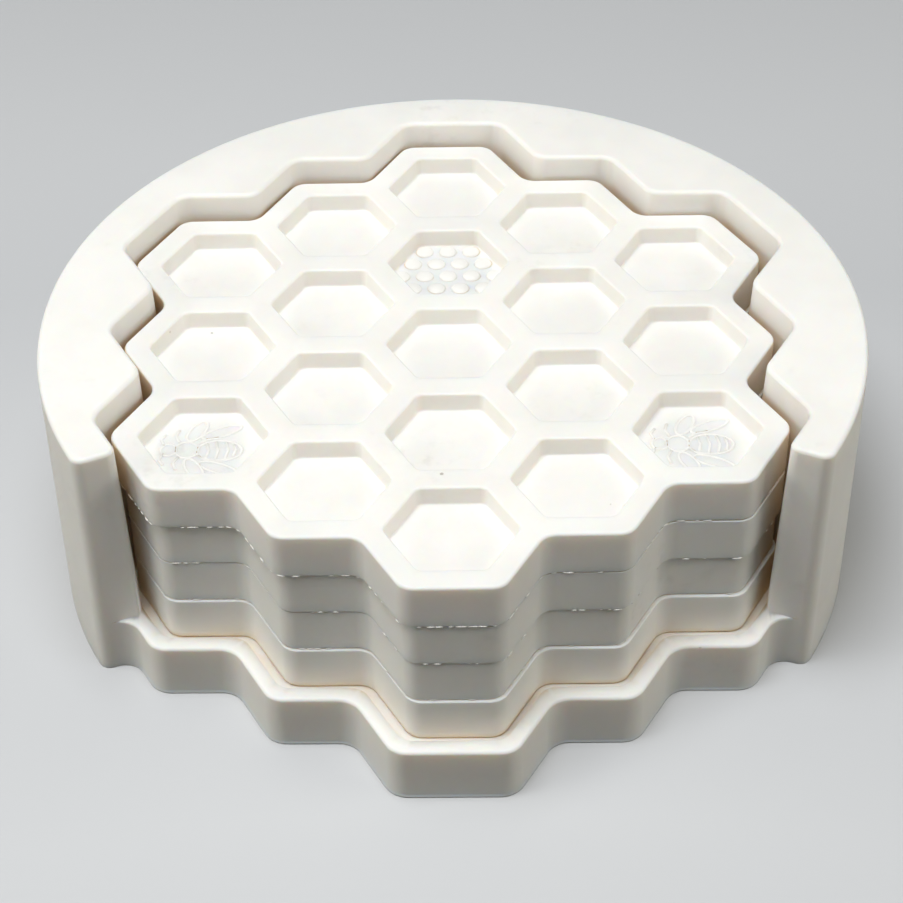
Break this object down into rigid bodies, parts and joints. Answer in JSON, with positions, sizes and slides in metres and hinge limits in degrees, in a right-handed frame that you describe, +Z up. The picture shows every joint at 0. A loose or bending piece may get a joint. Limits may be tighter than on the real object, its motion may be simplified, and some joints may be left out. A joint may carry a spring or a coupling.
{
  "type": "candle mold",
  "caption": "Loose honeycomb plates with shallow hexagonal wells, stacked in a round holder that is open at the front and has a low lip there.",
  "frame": {"origin": "centre of the honeycomb recess on the holder's underside", "axes": "+Z up, the open front of the holder faces -Y, +X to the right seen from the front"},
  "size_m": [0.1248, 0.1203, 0.042],
  "materials": {
    "holder": "matt off-white, cast",
    "plate": "matt off-white, cast"
  },
  "bodies": {
    "holder": {"holder": "holder"},
    "plate_1": {"plate_1": "plate"},
    "plate_2": {"plate_2": "plate"},
    "plate_3": {"plate_3": "plate"},
    "plate_4": {"plate_4": "plate"}
  },
  "joints": [
    {"name": "plate_1_lift", "type": "slide", "parent": "holder", "child": "plate_1", "axis": [0, 0, 1], "range_m": [0, 0.045]},
    {"name": "plate_2_lift", "type": "slide", "parent": "plate_1", "child": "plate_2", "axis": [0, 0, 1], "range_m": [0, 0.04]},
    {"name": "plate_3_lift", "type": "slide", "parent": "plate_2", "child": "plate_3", "axis": [0, 0, 1], "range_m": [0, 0.04]},
    {"name": "plate_4_lift", "type": "slide", "parent": "plate_3", "child": "plate_4", "axis": [0, 0, 1], "range_m": [0, 0.04]}
  ]
}
